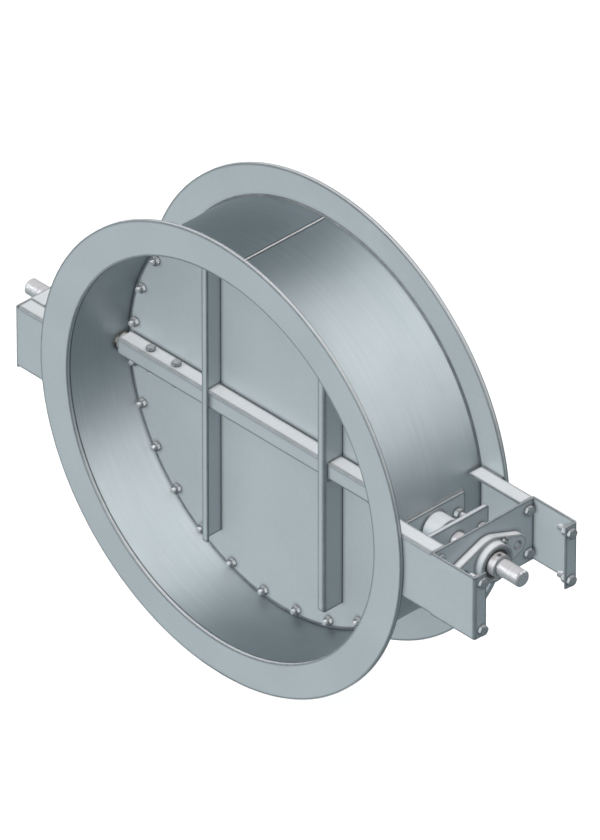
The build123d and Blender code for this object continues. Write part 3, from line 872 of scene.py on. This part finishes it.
def weld_flanges():
    """A bead round the casing at each flange, and its low root inside the bore."""
    for name, end in (("front", FRONT), ("rear", REAR)):
        bm = bmesh.new()
        centre = Vector((0, end * flange_inner_face, 0))
        add_bead(bm, round_stations(centre, casing_radius, Y_AXIS, Y_AXIS * -end), FLANGE_LEG, closed=True)
        keep_piece(f"{name}_flange_weld", bm, "casing", weld_finish)
        bm = bmesh.new()
        rings = []
        count = rows_round(bore_radius)
        for i in range(count):
            angle = 2 * math.pi * i / count
            out = Vector((math.cos(angle), 0, math.sin(angle)))
            ring = []
            for across, height in ROOT_SECTION:
                reach = bore_radius - height * ROOT_HEIGHT * (1 - RIPPLE_DEPTH * ripple_phase(i))
                ring.append(out * reach + centre + Y_AXIS * (across * ROOT_WIDTH))
            rings.append(ring)
        add_rings(bm, Matrix.Identity(4), rings, closed=True)
        keep_piece(f"{name}_root_weld", bm, "casing", root_finish)


def weld_arms():
    """Beads where the arms' upper and lower edges meet the flanges."""
    bm = bmesh.new()
    arm_top = arm_high.z
    rim_x = math.sqrt(flange_radius**2 - arm_top**2) - ARM_LEG
    start_x = math.sqrt(casing_radius**2 - arm_top**2) + 2 * ARM_LEG
    for side in (DRIVE, IDLER):
        for end in (FRONT, REAR):
            for up in (1, -1):
                start = Vector((side * start_x, end * flange_inner_face, up * (arm_top - ARM_LAP)))
                finish = Vector((side * rim_x, end * flange_inner_face, up * (arm_top - ARM_LAP)))
                add_bead(bm, straight_stations(start, finish, Z_AXIS * up, Y_AXIS * -end), ARM_LEG)
    keep_piece("arm_welds", bm, "casing", weld_finish)


def tube_radius_of(node):
    """The outer radius of a stuffing box's tube, from the corners at its free end."""
    corners = solids_of(node)[0]
    at_end = corners[np.abs(corners[:, 0] - corners[:, 0].max()) < SAME_POINT]
    return float(np.hypot(at_end[:, 1], at_end[:, 2]).max())


# Corners of a stuffing box that lie further out along Y than this share of the furthest are its pad's
PAD_SHARE = 0.9


def pad_face_of(node):
    """The flat outboard face of a stuffing box's pad, at the pad's corners."""
    corners = solids_of(node)[0]
    wide = corners[np.abs(corners[:, 1]) > PAD_SHARE * corners[:, 1].max()]
    return float(wide[:, 0].max())


def weld_stuffing_boxes():
    """Beads round each pad on the casing and round each tube on its pad."""
    bm = bmesh.new()
    half_length, half_height = pad_high.y, pad_high.z
    tube_radius = tube_radius_of("drive_stuffing_box")
    pad_face = pad_face_of("drive_stuffing_box")
    lean = math.asin(half_height / casing_radius)
    seat_x = casing_radius * math.cos(lean)
    for side in (DRIVE, IDLER):
        for up in (1, -1):
            start = Vector((side * seat_x, -half_length, up * half_height))
            finish = Vector((side * seat_x, half_length, up * half_height))
            climb = Vector((-side * math.sin(lean), 0, up * math.cos(lean)))
            add_bead(bm, straight_stations(start, finish, Vector((side, 0, 0)), climb), PAD_LEG)
        for end in (FRONT, REAR):
            rows = round(2 * half_height / RIPPLE * RIPPLE_ROWS)
            stations = []
            for i in range(rows + 1):
                angle = -lean + 2 * lean * i / rows
                out = Vector((side * math.cos(angle), 0, math.sin(angle)))
                corner = Vector((0, end * half_length, 0)) + out * casing_radius
                stations.append((corner, Vector((0, end, 0)), out))
            add_bead(bm, stations, PAD_LEG)
        centre = Vector((side * pad_face, 0, 0))
        add_bead(bm, round_stations(centre, tube_radius, X_AXIS, X_AXIS * side), PAD_LEG, closed=True)
    keep_piece("stuffing_box_welds", bm, "casing", weld_finish)


def weld_blade():
    """Stitch welds along the stiffeners and the shaft tube."""
    bm = bmesh.new()
    web = stiffener_high.x
    foot = tube_high.z + STITCH_ROOM
    run = stiffener_high.z - foot
    for side in (DRIVE, IDLER):
        x = min(side * web, side * (web - STIFFENER_WALL))
        for up in (1, -1):
            for step in range(STITCH_COUNT):
                middle = foot + run * (step + 0.5) / STITCH_COUNT
                start = Vector((x, blade_front, up * (middle - STITCH_LENGTH / 2)))
                finish = Vector((x, blade_front, up * (middle + STITCH_LENGTH / 2)))
                add_bead(bm, straight_stations(start, finish, -X_AXIS, -Y_AXIS), STITCH_LEG)
    tube_foot = TUBE_TOE - tube_high.z
    for x in TUBE_STITCHES:
        start = Vector((x - STITCH_LENGTH / 2, blade_front, tube_foot))
        finish = Vector((x + STITCH_LENGTH / 2, blade_front, tube_foot))
        add_bead(bm, straight_stations(start, finish, -Z_AXIS, -Y_AXIS), TUBE_STITCH_LEG)
    keep_piece("blade_stitch_welds", bm, "blade", finishes["blade_coating"])


# The seam's bead and, under it, a wider near-black strip of painted shade along its toes, with their
# section as shares of width and height
SEAM_WIDTH, SEAM_HEIGHT = 3.2 * MM, 0.9 * MM
TOE_SHADE_WIDTH, TOE_SHADE_HEIGHT = 7.6 * MM, 0.25 * MM
SEAM_SECTION = ((-0.5, -0.6), (-0.5, 0.1), (-0.3, 0.75), (0.0, 1.0), (0.3, 0.75), (0.5, 0.1), (0.5, -0.6))
SEAM_RIPPLE = 0.12
# How far the seam wanders to each side, and how fast, in radians per metre
SEAM_SWAY = 0.12 * MM
SWAY_RATE = 180
# How far its ends stay from the flanges, as a share of the leg of the flanges' beads, which hide them
SEAM_STOP = 0.6


def weld_seam():
    """The lengthwise seam of the rolled casing, along its top: a bead between strips of painted shade at
    its toes.
    """
    reach = flange_inner_face - FLANGE_LEG * SEAM_STOP
    count = round(2 * reach / RIPPLE * RIPPLE_ROWS)
    layers = (
        ("casing_seam_weld", SEAM_WIDTH, SEAM_HEIGHT, seam_finish),
        ("casing_seam_toes", TOE_SHADE_WIDTH, TOE_SHADE_HEIGHT, toe_shade_finish),
    )
    for name, width, rise, finish in layers:
        bm = bmesh.new()
        rings = []
        for i in range(count + 1):
            y = -reach + 2 * reach * i / count
            ripple = 1 - SEAM_RIPPLE * ripple_phase(i)
            sway = SEAM_SWAY * math.sin(y * SWAY_RATE)
            ring = []
            for across, height in SEAM_SECTION:
                lift = height * rise * (ripple if height > 0 else 1.0)
                ring.append((across * width + sway, y, casing_radius + lift))
            rings.append(ring)
        add_rings(bm, Matrix.Identity(4), rings)
        keep_piece(name, bm, "casing", finish)


weld_flanges()
weld_arms()
weld_stuffing_boxes()
weld_blade()
weld_seam()


# Stage

FLOOR_SIZE = 90.0
FLOOR_GAP = 0.5 * MM
# Cooler than white, so that its shadows are a neutral grey under the warm top lights
FLOOR_COLOUR = (0.60, 0.675, 0.69)
FLOOR_ROUGHNESS = 0.9


def make_floor():
    """A wide pale floor just under the flanges."""
    material, _, shader = new_material("pale_floor")
    shader.inputs["Base Color"].default_value = (*FLOOR_COLOUR, 1.0)
    shader.inputs["Roughness"].default_value = FLOOR_ROUGHNESS
    bm = bmesh.new()
    bmesh.ops.create_grid(bm, x_segments=1, y_segments=1, size=FLOOR_SIZE / 2)
    mesh = bpy.data.meshes.new("floor")
    bm.to_mesh(mesh)
    bm.free()
    mesh.materials.append(material)
    floor = bpy.data.objects.new("floor", mesh)
    floor.location = (0, 0, cad_low.z - FLOOR_GAP)
    floor.visible_diffuse = False
    floor.visible_glossy = False
    bpy.context.scene.collection.objects.link(floor)


def make_sun(name, direction, strength, spread, colour=(1, 1, 1), shadow=True, diffuse=True, glossy=True):
    """Soft light that comes from a direction over a wide angle."""
    light = bpy.data.lights.new(name, "SUN")
    light.energy = strength
    light.color = colour
    light.angle = math.radians(spread)
    light.use_shadow = shadow
    light.cycles.use_multiple_importance_sampling = shadow
    lamp = bpy.data.objects.new(name, light)
    lamp.visible_diffuse = diffuse
    lamp.visible_glossy = glossy
    lamp.rotation_mode = "QUATERNION"
    lamp.rotation_quaternion = Vector(direction).normalized().to_track_quat("Z", "Y")
    bpy.context.scene.collection.objects.link(lamp)


def make_world(colour, strength):
    """An even pale surround."""
    world = bpy.data.worlds.new("surround")
    world.use_nodes = True
    background = world.node_tree.nodes["Background"]
    background.inputs["Color"].default_value = (*colour, 1.0)
    background.inputs["Strength"].default_value = strength
    bpy.context.scene.world = world


# The camera looks from front, drive side and above, from far away, as the drawing does.
VIEW_AZIMUTH = math.radians(46.2)
VIEW_ELEVATION = math.radians(34.76)
VIEW_DISTANCE = 25.0
PIXELS_PER_METRE = 728.4
SENSOR = 36.0
IMAGE_WIDTH, IMAGE_HEIGHT = 600, 840
ORIGIN_PIXEL = (273.9, 430.9)


def make_camera():
    """The drawing's view: where its origin lies in the image fixes the aim."""
    data = bpy.data.cameras.new("view")
    data.sensor_width = SENSOR
    data.lens = PIXELS_PER_METRE * VIEW_DISTANCE * SENSOR / IMAGE_HEIGHT
    data.clip_start = 1.0
    data.clip_end = 3 * VIEW_DISTANCE
    camera = bpy.data.objects.new("view", data)
    a, e = VIEW_AZIMUTH, VIEW_ELEVATION
    back = Vector((math.sin(a) * math.cos(e), -math.cos(a) * math.cos(e), math.sin(e)))
    right = Vector((math.cos(a), math.sin(a), 0))
    up = back.cross(right)
    across = (IMAGE_WIDTH / 2 - ORIGIN_PIXEL[0]) / PIXELS_PER_METRE
    above = (ORIGIN_PIXEL[1] - IMAGE_HEIGHT / 2) / PIXELS_PER_METRE
    camera.location = right * across + up * above + back * VIEW_DISTANCE
    camera.rotation_mode = "QUATERNION"
    camera.rotation_quaternion = back.to_track_quat("Z", "Y")
    bpy.context.scene.collection.objects.link(camera)
    bpy.context.scene.camera = camera


# Upper faces and streaks are a more neutral grey in the drawing than the faces to the front, so
# their lights make up for the cool surround
WARM = (1.0, 0.80, 0.765)
SOFTLY_WARM = (1.0, 0.93, 0.91)
COOL = (0.86, 1.0, 1.06)
WORLD_STRENGTH = 0.37

make_floor()
make_world(COOL, WORLD_STRENGTH)
# Each sun with the direction it comes from, its strength and its spread in degrees
make_sun("top_light", (-0.10, -0.10, 1.0), 3.3, 50, WARM, shadow=False, glossy=False)
make_sun("soft_top_light", (-0.10, -0.20, 1.0), 1.2, 90, WARM, glossy=False)
make_sun("front_light", (-0.20, -0.90, 0.45), 2.1, 70, shadow=False)
make_sun("streak_light", (0.53, 0.57, 0.63), 3.0, 84, SOFTLY_WARM, shadow=False, diffuse=False)
make_sun("rear_light", (-0.45, 0.85, 0.25), 1.5, 70, shadow=False, glossy=False)
make_camera()
bpy.context.scene.view_settings.view_transform = "Standard"
